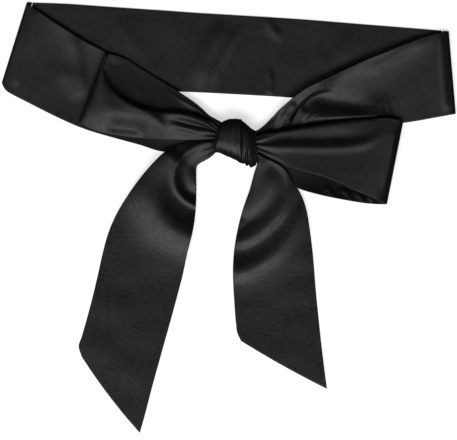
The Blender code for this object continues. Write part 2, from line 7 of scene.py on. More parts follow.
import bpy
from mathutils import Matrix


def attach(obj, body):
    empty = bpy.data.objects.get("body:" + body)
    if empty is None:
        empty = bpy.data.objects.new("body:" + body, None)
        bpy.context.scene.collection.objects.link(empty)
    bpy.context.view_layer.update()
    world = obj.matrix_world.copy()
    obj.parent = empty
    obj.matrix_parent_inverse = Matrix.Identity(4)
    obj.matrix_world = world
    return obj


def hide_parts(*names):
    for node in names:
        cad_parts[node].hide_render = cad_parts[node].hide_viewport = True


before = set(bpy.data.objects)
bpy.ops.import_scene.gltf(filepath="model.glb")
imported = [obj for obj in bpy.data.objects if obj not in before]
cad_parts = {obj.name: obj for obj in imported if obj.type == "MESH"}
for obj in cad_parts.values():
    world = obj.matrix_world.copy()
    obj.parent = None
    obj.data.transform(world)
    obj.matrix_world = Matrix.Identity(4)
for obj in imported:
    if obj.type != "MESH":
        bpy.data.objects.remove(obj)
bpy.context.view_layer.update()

import math
from collections import namedtuple

import bmesh
import bpy
import numpy as np
from mathutils import Vector
from mathutils.bvhtree import BVHTree

# The camera looks straight down on the laid-out sash from far enough off for its raised bow to keep its
# outline. The photograph is as wide as 457 mm of the surface, and its middle is just below the knot.
MM = 0.001
LAYOUT_CENTRE = (228.8, 217.5)
VIEW_WIDTH = 457.0
VIEW_MIDDLE = (228.5, 220.0)
CAMERA_HEIGHT = 4000.0
SENSOR = 36.0


def in_metres(points):
    """Layout points, in millimetres, as points of the frame."""
    x, y, z = np.moveaxis(np.asarray(points, float), -1, 0)
    return np.stack([x - LAYOUT_CENTRE[0], LAYOUT_CENTRE[1] - y, z], axis=-1) * MM


camera = bpy.data.objects.new("camera", bpy.data.cameras.new("camera"))
bpy.context.scene.collection.objects.link(camera)
bpy.context.scene.camera = camera
camera.location = in_metres((*VIEW_MIDDLE, CAMERA_HEIGHT))
camera.data.sensor_width = SENSOR
camera.data.lens = SENSOR * CAMERA_HEIGHT / VIEW_WIDTH
camera.data.clip_end = 10.0


# The stretch behind the waist: doubled satin, sewn as a tube 79 mm wide, turned and pressed. It lies flat
# on the surface, between the two side folds, with a few soft dents left by pressing.
STRIP_WIDTH = 79.0

# Thickness of the pressed tube, height of its middle where it lies on the surface, and the gap that is left
# between stretches that lie on each other.
CLOTH = 1.0
ON_SURFACE = 0.6
PARTING = 0.45

# A section runs across the strip, from its first edge (a) to its second (b). Crown is how far the middle
# stands above the straight line between them, and curl_a and curl_b are how far the edges curl up above it.
Section = namedtuple("Section", "ax ay az bx by bz crown curl_a curl_b")

# A fold is a soft ridge, or a trough where its rise is below 0. It follows a path in plan, reaches left
# and right of it, and fades in and out over shares of its length.
Fold = namedtuple("Fold", "rise left right fade_in fade_out path")


def table(kind, *rows):
    return [kind(*row) for row in rows]


WAIST_BACK = table(
    Section,
    (33.0, 2.6, ON_SURFACE, 8.6, 82.6, ON_SURFACE, 0, 0, 0),
    (62.0, 3.6, ON_SURFACE, 46.0, 84.8, ON_SURFACE, 0, 0, 0),
    (110.0, 6.8, ON_SURFACE, 100.0, 88.0, ON_SURFACE, 0, 0, 0),
    (160.0, 10.2, ON_SURFACE, 150.0, 90.8, ON_SURFACE, 0, 0, 0),
    (200.0, 13.0, ON_SURFACE, 192.0, 92.2, ON_SURFACE, 0, 0, 0),
    (250.0, 16.0, ON_SURFACE, 240.0, 94.6, ON_SURFACE, 0, 0, 0),
    (300.0, 19.2, ON_SURFACE, 293.0, 97.8, ON_SURFACE, 0, 0, 0),
    (350.0, 23.2, ON_SURFACE, 346.0, 102.2, ON_SURFACE, 0, 0, 0),
    (400.0, 27.2, ON_SURFACE, 399.0, 107.2, ON_SURFACE, 0, 0, 0),
    (441.8, 30.6, ON_SURFACE, 448.4, 112.4, ON_SURFACE, 0, 0, 0),
)
WAIST_BACK_FOLDS = table(
    Fold,
    (2.2, 8, 9, 0.3, 0.3, ((224, 18), (213, 42), (203, 66), (197, 92))),
    (1.6, 4, 6, 0.3, 0.3, ((240, 22), (229, 46), (217, 70), (211, 92))),
    (1.0, 4, 5, 0.3, 0.4, ((266, 15), (273, 30), (285, 42))),
    (1.2, 3, 4, 0.4, 0.2, ((270, 66), (271, 82), (269, 98))),
    (0.7, 12, 9, 0.4, 0.4, ((120, 14), (134, 42), (158, 60))),
    (0.8, 10, 12, 0.4, 0.4, ((352, 34), (336, 56), (312, 74))),
)

# How closely the cloth is divided along its length, in a tight turn, across, and near its sewn edges.
ROW_SPACING = 1.5
TURN_SPACING = 0.7
COLUMN_SPACING = 1.7
EDGE_COLUMNS = (0.0, 0.12, 0.35, 0.7, 1.2)
EDGE_ROUNDING = 0.9
EDGE_STEP = 0.03
CURL_POWER = 4
HEM_PULL = 30.0

# Cloth rolled under is at most such a share of the width between the edges, sets in over so many sections,
# bends round such a share of the width, between two radii, and sags by such a share of its own length.
ROLL_MOST = 0.89
ROLL_FADE = 3.5
ROLL_RADIUS = 0.055
ROLL_RADII = (0.8, 2.3)
ROLL_SAG = 0.015

SMOOTHING_PASSES = 6
PATH_STEPS = 12


def lengths_along(points):
    """How far along a line of points each of them lies."""
    return np.concatenate([[0], np.cumsum(np.linalg.norm(np.diff(points, axis=0), axis=1))])


def along_curve(knots, values, at):
    """Smooth curve through the values at the knots, read at other places along it."""
    slopes = np.gradient(values, knots, axis=0)
    i = np.clip(np.searchsorted(knots, at, side="right") - 1, 0, len(knots) - 2)
    span = (knots[i + 1] - knots[i])[:, None]
    t = (at - knots[i])[:, None] / span
    start = (1 + 2 * t) * (1 - t) ** 2 * values[i] + t * (1 - t) ** 2 * span * slopes[i]
    end = t**2 * (3 - 2 * t) * values[i + 1] + t**2 * (t - 1) * span * slopes[i + 1]
    return start + end


def smooth_step(x):
    x = np.clip(x, 0, 1)
    return x * x * (3 - 2 * x)


def softened(grid, passes):
    """Evens a grid out along its rows, and leaves its two ends where they are."""
    for _ in range(passes):
        grid[1:-1] = (grid[:-2] + 2 * grid[1:-1] + grid[2:]) / 4
    return grid


def section_points(rows, share):
    """Points so far across each row, from edge a at 0 to edge b at 1."""
    v = share[..., None]
    points = rows[:, None, 0:3] * (1 - v) + rows[:, None, 3:6] * v
    points[..., 2] += rows[:, 6:7] * 4 * share * (1 - share)
    points[..., 2] += rows[:, 7:8] * (1 - share) ** CURL_POWER + rows[:, 8:9] * share**CURL_POWER
    return points


def unit(vectors):
    return vectors / np.linalg.norm(vectors, axis=-1, keepdims=True)


def strip(sections, hem_bow=0.0, hemmed=False, rolled_after=None):
    """Grid of points along and across a strip, the section that each row is nearest to, and its cut.

    The cut is each point's place in the flat cloth: across from edge a, along from the first section, and
    in from the hem. A hem may bow outwards, and pulls the cloth just before it along. After a section that
    rolled_after names, cloth that has no room between the edges is rolled under at edge a.
    """
    rows = np.array(sections, float)
    gap_a = np.linalg.norm(np.diff(rows[:, 0:3], axis=0), axis=1)
    gap_b = np.linalg.norm(np.diff(rows[:, 3:6], axis=0), axis=1)
    middle = (rows[:, 0:3] + rows[:, 3:6]) / 2
    gaps = np.linalg.norm(np.diff(middle, axis=0), axis=1)
    knots = np.concatenate([[0], np.cumsum(gaps)])
    at = [0.0]
    number = [0.0]
    for i in range(len(sections) - 1):
        longest = max(gap_a[i], gap_b[i])
        turning = longest < 4 * TURN_SPACING
        count = max(3, math.ceil(longest / (TURN_SPACING if turning else ROW_SPACING)))
        for k in range(1, count + 1):
            at.append(knots[i] + k / count * gaps[i])
            number.append(i + k / count)
    at = np.array(at)
    number = np.array(number)
    if hemmed:
        inner = at < at[-1] - 1.5 * EDGE_COLUMNS[-1]
        near_hem = at[-1] - np.array(EDGE_COLUMNS[::-1])
        number = np.concatenate([number[inner], np.full(len(near_hem), number[-1])])
        at = np.concatenate([at[inner], near_hem])
    rows = softened(along_curve(knots, rows, at), SMOOTHING_PASSES)
    inside = np.arange(EDGE_COLUMNS[-1] + COLUMN_SPACING, STRIP_WIDTH / 2, COLUMN_SPACING)
    half = np.concatenate([EDGE_COLUMNS, inside])
    across = np.concatenate([half, STRIP_WIDTH - half[::-1]])[None, :]

    width = np.linalg.norm(rows[:, 0:3] - rows[:, 3:6], axis=1)[:, None]
    spare = np.zeros_like(width)
    if rolled_after is not None:
        spare = np.clip(STRIP_WIDTH - width, 0, ROLL_MOST * width)
        spare *= smooth_step((number[:, None] - rolled_after) / ROLL_FADE)
    radius = np.clip(ROLL_RADIUS * width, *ROLL_RADII)
    inset = radius * np.sin(np.minimum(spare / radius, np.pi / 2)) / width
    share = inset + (1 - inset) * np.clip((across - spare) / (STRIP_WIDTH - spare), 0, 1)
    rolled = np.clip(spare - across, 0, None)
    turned = np.minimum(rolled / radius, np.pi)
    under = rolled - turned * radius
    grid = section_points(rows, share + under / width)
    edge = section_points(rows, inset)
    outwards = unit(edge - section_points(rows, inset + EDGE_STEP))
    upwards = unit(np.cross(outwards, np.gradient(edge, axis=0)))
    upwards *= np.sign(upwards[..., 2:])
    grid += (radius * np.sin(turned))[..., None] * outwards
    grid -= (radius * (1 - np.cos(turned)) + ROLL_SAG * under)[..., None] * upwards

    hem = grid[-1, -1, :2] - grid[-1, 0, :2]
    beyond = np.array([-hem[1], hem[0]]) / np.linalg.norm(hem)
    pull = smooth_step(1 - (at[-1] - at) / HEM_PULL)[:, None]
    grid[..., :2] += (hem_bow * pull * 4 * share * (1 - share))[..., None] * beyond
    from_hem = at[-1] - at if hemmed else np.full_like(at, STRIP_WIDTH)
    cut = np.stack(np.broadcast_arrays(across, at[:, None], from_hem[:, None]), axis=-1)
    return grid, number, cut


def fold_profile(grid, fold):
    """How much of a fold each point of the grid takes up, and the way to the right of its path there."""
    path = np.array(fold.path, float)
    knots = lengths_along(path)
    at = np.linspace(0, knots[-1], PATH_STEPS * len(path))
    line = along_curve(knots, path, at)
    away = grid[:, :, None, :2] - line
    distance = np.linalg.norm(away, axis=-1)
    nearest = distance.argmin(axis=-1)
    ahead = unit(np.gradient(line, axis=0))[nearest]
    offset = np.take_along_axis(away, nearest[..., None, None], axis=2)[:, :, 0]
    side = ahead[..., 0] * offset[..., 1] - ahead[..., 1] * offset[..., 0]
    width = np.where(side < 0, fold.left, fold.right)
    share = at[nearest] / knots[-1]
    fade = smooth_step(share / fold.fade_in) * smooth_step((1 - share) / fold.fade_out)
    reach = np.take_along_axis(distance, nearest[..., None], axis=2)[..., 0] / width
    right = np.stack([-ahead[..., 1], ahead[..., 0]], axis=-1)
    return fade * np.exp(-(reach**2)), right


def fold_rise(grid, folds):
    """How far the folds lift each point of the grid."""
    return sum(fold.rise * fold_profile(grid, fold)[0] for fold in folds)


def lean_over(grid, folds):
    """Leans the crests of folds to the right of their paths, so far as their rise says."""
    for fold in folds:
        profile, right = fold_profile(grid, fold)
        grid[..., :2] += fold.rise * profile[..., None] * right
    return grid


# A gather runs out of the knot with the cloth. It is a ridge, or a trough where its rise is below 0, so far
# in from edge a and so wide in the flat cloth, and it has died away at its reach from the knot.
Gather = namedtuple("Gather", "across width rise reach")


def gathered(grid, cut, from_knot, gathers):
    for gather in gathers:
        fade = 1 - smooth_step(from_knot / gather.reach)
        profile = np.exp(-(((cut[..., 0] - gather.across) / gather.width) ** 2))
        grid[..., 2] += gather.rise * fade * profile
    return grid


# Lengths of the soft unevenness, of the puckers and of how they come and go along an edge, and how far in
# from the edge they reach.
WAVES = 5
UNEVEN_LENGTH = 38.0
PUCKER_LENGTH = 11.0
PUCKER_RUN = 70.0
PUCKER_REACH = 4.0


def waves(x, length, seed):
    """Uneven waves between about -1 and 1, of about that length, along any number of directions."""
    random = np.random.default_rng(seed)
    total = np.zeros(x.shape[:-1])
    for _ in range(WAVES):
        way = random.normal(size=x.shape[-1])
        way *= 2 * np.pi / (length * random.uniform(0.7, 1.5) * np.linalg.norm(way))
        total += np.sin(x @ way + random.uniform(0, 2 * np.pi))
    return total / 3


def lived_in(grid, cut, seed, unevenness=0.2, pucker=0.06):
    """Soft unevenness all over the cloth, and short puckers that come and go along its sewn edges."""
    grid[..., 2] += unevenness * (1 + waves(grid[..., :2], UNEVEN_LENGTH, seed))
    for edge, start in ((cut[..., 0], 1), (STRIP_WIDTH - cut[..., 0], 2)):
        ripple = waves(cut[..., 1:2], PUCKER_LENGTH, seed * 7 + start)
        strength = 0.5 + 0.5 * waves(cut[..., 1:2], PUCKER_RUN, seed * 11 + start)
        grid[..., 2] += pucker * strength * ripple * np.exp(-edge / PUCKER_REACH)
    return grid


# A stretch is lifted clear of whatever lies within this reach below it, and the lift eases down at a slope.
REACH = 2.5
REACH_WAYS = 8
SETTLE_SLOPE = 0.22
LIFT_PASSES = 14
ABOVE_ALL = 90.0


def lie_on(grid, below, first_row=0):
    """Lifts a grid clear of the surface and of the stretches below it, easing down beyond their edges."""
    ways = np.arange(REACH_WAYS) * 2 * np.pi / REACH_WAYS
    spots = [(0, 0)] + [(REACH * np.cos(way), REACH * np.sin(way)) for way in ways]
    floor = np.full(grid.shape[:2], ON_SURFACE)
    for tree in below:
        for index in np.ndindex(floor.shape):
            if index[0] < first_row:
                continue
            x, y, _ = grid[index]
            for dx, dy in spots:
                start = Vector(in_metres((x + dx, y + dy, ABOVE_ALL)))
                hit = tree.ray_cast(start, Vector((0, 0, -1)))[0]
                if hit is not None:
                    floor[index] = max(floor[index], hit.z / MM + PARTING + CLOTH / 2)
    lift = np.maximum(floor - grid[..., 2], 0)
    for _ in range(LIFT_PASSES):
        for axis in (0, 1):
            step = np.linalg.norm(np.diff(grid[..., :2], axis=axis), axis=-1) * SETTLE_SLOPE
            first = [slice(None)] * 2
            second = [slice(None)] * 2
            first[axis], second[axis] = slice(0, -1), slice(1, None)
            first, second = tuple(first), tuple(second)
            lift[first] = np.maximum(lift[first], lift[second] - step)
            lift[second] = np.maximum(lift[second], lift[first] - step)
    grid[..., 2] += lift
    return grid


def top_of(piece):
    """What later stretches lie on."""
    bpy.context.view_layer.update()
    return BVHTree.FromObject(piece, bpy.context.evaluated_depsgraph_get())


SEAM_MERGE = 0.00001


def as_piece(name, mesh, merged=False):
    """A mesh as a piece of the scene, its faces outwards and, where asked, its seams closed."""
    shape = bmesh.new()
    shape.from_mesh(mesh)
    if merged:
        bmesh.ops.remove_doubles(shape, verts=shape.verts, dist=SEAM_MERGE)
    bmesh.ops.recalc_face_normals(shape, faces=shape.faces)
    shape.to_mesh(mesh)
    shape.free()
    mesh.shade_smooth()
    piece = bpy.data.objects.new(name, mesh)
    bpy.context.scene.collection.objects.link(piece)
    return piece


def sewn_tube(name, grid, cut):
    """The pressed tube over a grid: two layers that meet at the sewn edges, rolled round there."""
    normal = unit(np.cross(np.gradient(grid, axis=0), np.gradient(grid, axis=1)))
    inwards = np.minimum(np.minimum(cut[..., 0], STRIP_WIDTH - cut[..., 0]), cut[..., 2])
    inset = np.clip(inwards / EDGE_ROUNDING, 0, 1)
    half = CLOTH / 2 * np.sqrt(1 - (1 - inset) ** 2)
    rows, columns = grid.shape[:2]
    count = rows * columns
    outer = (grid + normal * half[..., None]).reshape(-1, 3)
    inner = (grid - normal * half[..., None]).reshape(-1, 3)
    number = np.arange(count).reshape(rows, columns)
    faces = []
    for i in range(rows - 1):
        for j in range(columns - 1):
            quad = (number[i, j], number[i, j + 1], number[i + 1, j + 1], number[i + 1, j])
            faces.append(quad)
            faces.append(tuple(k + count for k in reversed(quad)))
    for end in (number[0], number[-1]):
        for a, b in zip(end, end[1:]):
            faces.append((a, b, b + count, a + count))
    mesh = bpy.data.meshes.new(name)
    points = in_metres(np.concatenate([outer, inner]))
    mesh.from_pydata([tuple(p) for p in points], [], [tuple(int(k) for k in f) for f in faces])
    layer = mesh.uv_layers.new(name="cloth")
    place = np.concatenate([cut[..., :2].reshape(-1, 2)] * 2) * MM
    loops = np.empty(len(mesh.loops), int)
    mesh.loops.foreach_get("vertex_index", loops)
    layer.data.foreach_set("uv", place[loops].ravel())
    return as_piece(name, mesh, merged=True)


def cloth_noise(nodes, links, place, size, detail, roughness=0.5):
    """Noise over the flat cloth, its grains so many metres across and along the strip."""
    spread = nodes.new("ShaderNodeMapping")
    spread.inputs["Scale"].default_value = (1 / size[0], 1 / size[1], 1)
    links.new(place.outputs["UV"], spread.inputs["Vector"])
    noise = nodes.new("ShaderNodeTexNoise")
    noise.inputs["Scale"].default_value = 1.0
    noise.inputs["Detail"].default_value = detail
    noise.inputs["Roughness"].default_value = roughness
    links.new(spread.outputs["Vector"], noise.inputs["Vector"])
    return noise.outputs["Fac"]


def raised(nodes, links, height, strength, distance):
    """Relief that follows a noise, so many metres high."""
    bump = nodes.new("ShaderNodeBump")
    bump.inputs["Strength"].default_value = strength
    bump.inputs["Distance"].default_value = distance
    links.new(height, bump.inputs["Height"])
    return bump


def black_satin():
    """Fine satin with its long floats along the strip: near black, with a soft streaked sheen."""
    material = bpy.data.materials.new("black_satin")
    material.use_nodes = True
    nodes, links = material.node_tree.nodes, material.node_tree.links
    shader = nodes["Principled BSDF"]
    shader.inputs["Metallic"].default_value = 0.0
    shader.inputs["Specular IOR Level"].default_value = 0.5
    shader.inputs["Anisotropic"].default_value = 0.3
    shader.inputs["Sheen Weight"].default_value = 0.01
    shader.inputs["Sheen Roughness"].default_value = 0.35
    place = nodes.new("ShaderNodeUVMap")
    place.uv_map = "cloth"
    threads = cloth_noise(nodes, links, place, (0.00022, 0.0016), detail=2.0)
    cloud = cloth_noise(nodes, links, place, (0.007, 0.016), detail=5.0, roughness=0.62)
    grain = cloth_noise(nodes, links, place, (0.0060, 0.0030), detail=3.0, roughness=0.65)
    shade = nodes.new("ShaderNodeValToRGB")
    shade.color_ramp.elements[0].position = 0.3
    shade.color_ramp.elements[0].color = (0.0024, 0.0024, 0.0026, 1)
    shade.color_ramp.elements[1].position = 0.75
    shade.color_ramp.elements[1].color = (0.0048, 0.0048, 0.0051, 1)
    links.new(cloud, shade.inputs["Fac"])
    links.new(shade.outputs["Color"], shader.inputs["Base Color"])
    uneven = nodes.new("ShaderNodeMix")
    uneven.inputs["Factor"].default_value = 0.5
    links.new(cloud, uneven.inputs["A"])
    links.new(grain, uneven.inputs["B"])
    gloss = nodes.new("ShaderNodeMapRange")
    gloss.inputs["From Min"].default_value = 0.35
    gloss.inputs["From Max"].default_value = 0.65
    gloss.inputs["To Min"].default_value = 0.39
    gloss.inputs["To Max"].default_value = 0.53
    links.new(uneven.outputs["Result"], gloss.inputs["Value"])
    links.new(gloss.outputs["Result"], shader.inputs["Roughness"])
    mottle = raised(nodes, links, grain, strength=0.5, distance=0.00035)
    weave = raised(nodes, links, threads, strength=0.35, distance=0.00006)
    links.new(mottle.outputs["Normal"], weave.inputs["Normal"])
    links.new(weave.outputs["Normal"], shader.inputs["Normal"])
    along = nodes.new("ShaderNodeTangent")
    along.direction_type = "UV_MAP"
    along.uv_map = "cloth"
    links.new(along.outputs["Tangent"], shader.inputs["Tangent"])
    return material


satin = black_satin()


def dress(piece, node):
    """Satin, and what every stretch of the sash tells the frame."""
    piece.data.materials.append(satin)
    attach(piece, "root")
    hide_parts(node)


grid, number, cut = strip(WAIST_BACK)
grid[..., 2] += fold_rise(grid, WAIST_BACK_FOLDS)
grid = lived_in(grid, cut, seed=3)
waist_back = sewn_tube("waist_back_satin", grid, cut)
dress(waist_back, "waist_back")
waist_back_top = top_of(waist_back)


# The left front stretch: the strip turns over in a soft side fold, and runs over the back stretch to the
# knot. The fold isn't pressed, so it stands up as a small roll.
WAIST_LEFT = table(
    Section,
    (32.4, 2.4, 0.6, 8.0, 82.4, 0.6, 0, 0, 0),
    (29.3, 2.1, 0.7, 4.8, 82.2, 0.7, 0, 0, 0),
    (27.6, 2.2, 1.6, 2.8, 82.2, 1.5, 0, 0, 0),
    (27.1, 2.6, 3.0, 2.0, 82.9, 2.8, 0, 0, 0),
    (27.9, 3.6, 4.4, 2.8, 85.4, 4.2, 0, 0, 0),
    (30.2, 5.6, 5.2, 5.4, 90.2, 4.8, 0.3, 0, 0),
    (35.0, 8.8, 5.2, 11.6, 94.2, 4.8, 0.4, 0.8, 0),
    (42.0, 13.6, 4.4, 20.0, 98.6, 4.0, 0.2, 1.8, 0),
    (52.0, 20.5, 3.4, 31.0, 104.2, 3.0, 0, 3.0, 0),
    (66.0, 29.5, 2.8, 46.0, 111.8, 2.4, 0, 4.0, 0),
    (80.0, 38.5, 2.6, 62.0, 119.6, 2.0, 0, 3.6, 0.4),
    (94.0, 46.0, 2.6, 76.0, 125.8, 1.6, 0, 3.2, 1.2),
    (112.0, 54.8, 2.4, 90.0, 131.0, 1.2, 0, 1.2, 2.2),
    (131.0, 64.5, 2.3, 114.0, 138.0, 0.9, 0, 0, 3.0),
    (151.0, 77.5, 2.3, 139.0, 144.8, 0.7, 0, 0, 3.2),
    (173.0, 91.0, 2.4, 163.5, 151.8, 0.7, 0, 0, 2.4),
    (190.0, 102.8, 2.8, 184.0, 151.0, 0.9, 0, 0, 1.0),
    (203.0, 112.2, 3.8, 200.0, 147.0, 2.0, 0, 0, 0),
    (213.0, 117.4, 5.2, 211.0, 142.0, 3.6, 0, 0, 0),
    (222.6, 122.8, 6.4, 219.0, 140.5, 4.6, 0, 0, 0),
)
# In sections of both front stretches: where their creases begin, how many sections these take to reach their
# full height, and where the cloth has turned round its side fold and lies on the back stretch.
CREASED_FROM = 4
CREASES_FADE = 2
PAST_SIDE_FOLD = 5.5
WAIST_LEFT_FOLDS = table(
    Fold,
    (1.0, 3, 5, 0.1, 0.1, ((37, 8), (30, 32), (22, 58), (15, 88))),
    (1.8, 6, 8, 0.25, 0.3, ((73, 30), (78, 55), (80, 75), (84, 98))),
    (1.4, 11, 9, 0.4, 0.3, ((60, 62), (72, 82), (80, 104))),
)
WAIST_LEFT_GATHERS = table(
    Gather,
    (14, 5, 0.9, 46),
    (27, 4, -0.7, 30),
    (38, 5, 0.9, 38),
    (51, 5, -0.6, 34),
    (63, 5, 0.8, 28),
)


def first_row_past(number, section):
    return int(np.searchsorted(number, section))


def past_turn(number):
    """The share of a row's creases that shows: none at the side fold, and all past it."""
    return smooth_step((number - CREASED_FROM) / CREASES_FADE)[:, None]


grid, number, cut = strip(WAIST_LEFT)
grid[..., 2] += fold_rise(grid, WAIST_LEFT_FOLDS) * past_turn(number)
grid = gathered(grid, cut, cut[-1, 0, 1] - cut[..., 1], WAIST_LEFT_GATHERS)
grid = lived_in(grid, cut, seed=5)
grid = lie_on(grid, [waist_back_top], first_row_past(number, PAST_SIDE_FOLD))
waist_left = sewn_tube("waist_front_left_satin", grid, cut)
dress(waist_left, "waist_front_left")
waist_left_top = top_of(waist_left)


# The right front stretch: the same on the right, with a deep pleat and a hollow where it is gathered
# towards the knot.
WAIST_RIGHT = table(
    Section,
    (442.4, 30.8, 0.6, 449.0, 112.6, 0.6, 0, 0, 0),
    (445.8, 31.0, 0.7, 452.6, 113.0, 0.7, 0, 0, 0),
    (447.9, 31.2, 1.6, 454.8, 113.4, 1.5, 0, 0, 0),
    (448.5, 31.3, 3.0, 455.5, 113.8, 2.8, 0, 0, 0),
    (447.5, 31.6, 4.4, 454.6, 114.2, 4.2, 0, 0, 0),
    (444.2, 32.2, 5.3, 451.4, 114.8, 5.0, 0.3, 0, 0),
    (439.0, 33.0, 5.4, 446.0, 115.8, 5.0, 0.4, 0.6, 0),
    (431.0, 35.2, 4.6, 437.0, 117.4, 4.0, 0.2, 2.0, 0),
    (419.0, 38.9, 3.8, 424.0, 119.8, 2.6, 0.2, 4.2, 0),
    (404.0, 44.6, 3.4, 408.0, 122.4, 1.5, 0.4, 5.2, 0),
    (385.0, 52.3, 3.4, 388.0, 124.2, 1.0, 0.6, 6.6, 0),
    (365.0, 60.5, 3.6, 366.0, 125.2, 0.7, 0.9, 7.4, 0),
    (345.0, 69.8, 3.8, 344.0, 127.0, 0.7, 1.3, 7.6, 0),
    (325.0, 79.3, 4.0, 322.0, 129.0, 0.7, 1.2, 8.4, 0),
    (307.0, 86.5, 4.2, 303.0, 131.5, 0.9, 0.6, 6.8, 0),
    (294.0, 95.4, 4.6, 288.0, 134.0, 1.4, 0.6, 5.0, 0),
    (282.0, 106.8, 5.2, 276.0, 137.0, 2.2, 0.6, 3.4, 0),
    (270.6, 119.0, 5.8, 266.0, 139.5, 3.0, 0.5, 1.8, 0),
    (259.6, 128.9, 6.6, 258.0, 142.0, 4.6, 0.3, 0.4, 0),
    (252.0, 132.6, 6.8, 251.0, 145.0, 5.6, 0, 0, 0),
)
WAIST_RIGHT_FOLDS = table(
    Fold,
    (3.4, 12, 2.8, 0.15, 0.55, ((286, 127), (291, 114), (298, 102), (308, 93.5), (321, 88.5), (338, 88))),
    (-2.8, 2.2, 9, 0.2, 0.5, ((302, 114), (306, 104), (313, 97), (324, 93), (336, 93))),
    (-2.8, 10, 9, 0.35, 0.4, ((304, 111), (320, 104.5), (338, 103.5), (358, 106), (386, 110))),
    (-1.8, 8, 7, 0.4, 0.3, ((320, 109), (346, 109), (374, 111), (404, 113))),
    (6.6, 14, 4, 0.2, 0.3, ((300, 121), (318, 119), (344, 117), (372, 115.5), (402, 116))),
    (1.6, 3, 4, 0.3, 0.2, ((276, 134), (282, 122), (287, 110), (294, 100))),
    (1.1, 4, 6, 0.3, 0.3, ((438, 37), (412, 48), (385, 63), (352, 77))),
    (1.0, 4, 3, 0.1, 0.1, ((440, 33), (442, 60), (444, 88), (446, 112))),
)
WAIST_RIGHT_LEANS = table(
    Fold,
    (2.4, 9, 2.8, 0.2, 0.6, ((290, 118), (298, 102), (308, 93.5), (321, 88.5), (338, 88))),
)
WAIST_RIGHT_GATHERS = table(
    Gather,
    (10, 4, 0.8, 40),
    (21, 4, -0.9, 44),
    (33, 5, 1.0, 52),
    (47, 5, -0.8, 36),
    (60, 5, 0.9, 30),
)

grid, number, cut = strip(WAIST_RIGHT)
grid[..., 2] += fold_rise(grid, WAIST_RIGHT_FOLDS) * past_turn(number)
grid = lean_over(grid, WAIST_RIGHT_LEANS)
grid = gathered(grid, cut, cut[-1, 0, 1] - cut[..., 1], WAIST_RIGHT_GATHERS)
grid = lived_in(grid, cut, seed=8)
grid = lie_on(grid, [waist_back_top], first_row_past(number, PAST_SIDE_FOLD))
waist_right = sewn_tube("waist_front_right_satin", grid, cut)
dress(waist_right, "waist_front_right")
waist_right_top = top_of(waist_right)


# The left tail: from under the left loop it turns down in a curled fold, settles on the surface and ends
# in a slanted hem, sewn before the tube was turned.
TAIL_LEFT = table(
    Section,
    (220.5, 141.0, 8.6, 218.4, 149.8, 7.2, 0, 0, 0),
    (213.8, 141.0, 8.4, 214.0, 154.6, 6.4, 0.3, 0, 0),
    (203.0, 141.4, 7.2, 207.6, 159.4, 6.2, 1.0, 0, 0),
    (192.0, 142.0, 6.6, 200.0, 163.4, 5.4, 1.8, 0, 0),
    (180.0, 144.6, 6.0, 197.0, 166.2, 4.6, 2.4, 0, 0),
    (170.0, 148.2, 5.4, 196.3, 172.0, 3.4, 2.8, 0, 0),
    (162.8, 153.4, 4.8, 196.4, 180.0, 3.2, 2.8, 0, 0),
    (154.0, 162.0, 4.0, 196.5, 190.0, 2.8, 2.8, 0, 0),
    (145.0, 172.0, 3.2, 196.3, 201.0, 2.4, 2.8, 0, 0),
    (136.0, 183.5, 2.6, 195.6, 212.0, 2.0, 2.7, 0, 0),
    (127.0, 196.5, 2.0, 194.2, 224.0, 1.6, 2.4, 0, 0),
    (117.5, 212.0, 1.4, 191.6, 237.0, 1.2, 1.8, 0, 0),
    (109.5, 229.5, 0.9, 187.6, 252.0, 0.8, 1.0, 0, 0),
    (103.4, 250.0, 0.6, 183.0, 274.0, 0.6, 0.4, 0, 0),
    (98.0, 274.0, 0.6, 176.8, 298.0, 0.6, 0, 0, 0),
    (91.8, 300.0, 0.6, 168.6, 328.0, 0.6, 0, 0, 0),
    (86.2, 321.0, 0.6, 160.2, 358.0, 0.6, 0, 0, 0),
    (81.6, 337.0, 0.6, 151.4, 390.0, 0.6, 0, 0, 0),
    (78.7, 347.5, 0.6, 144.4, 417.0, 0.6, 0, 0, 0),
    (81.6, 356.6, 0.6, 139.8, 433.0, 0.6, 0, 0, 0),
)
TAIL_LEFT_HEM_BOW = 2.0
TAIL_LEFT_FOLDS = table(
    Fold,
    (1.6, 4, 3.0, 0.1, 0.1, ((218, 143.5), (202, 144), (189, 150.5), (180, 159), (175, 168),
                             (174, 179), (177, 190), (185, 199.5), (197, 206), (209, 208))),
    (-2.2, 6, 7, 0.2, 0.1, ((208, 153), (199, 157), (190, 165), (185, 176), (187, 188), (196, 195),
                            (208, 198))),
    (5.4, 16, 20, 0.1, 0.1, ((174, 144), (164, 156), (157, 169), (153, 184), (153, 199), (160, 216),
                             (173, 229.5), (197, 239), (211, 241))),
)
TAIL_LEFT_GATHERS = table(
    Gather,
    (30, 6, -0.8, 24),
    (44, 5, 0.7, 20),
    (58, 6, -0.8, 26),
)

grid, number, cut = strip(TAIL_LEFT, TAIL_LEFT_HEM_BOW, hemmed=True)
grid[..., 2] += fold_rise(grid, TAIL_LEFT_FOLDS)
grid = gathered(grid, cut, cut[..., 1], TAIL_LEFT_GATHERS)
grid = lived_in(grid, cut, seed=13)
grid = lie_on(grid, [waist_left_top])
tail_left = sewn_tube("tail_left_satin", grid, cut)
dress(tail_left, "tail_left")
tail_left_top = top_of(tail_left)


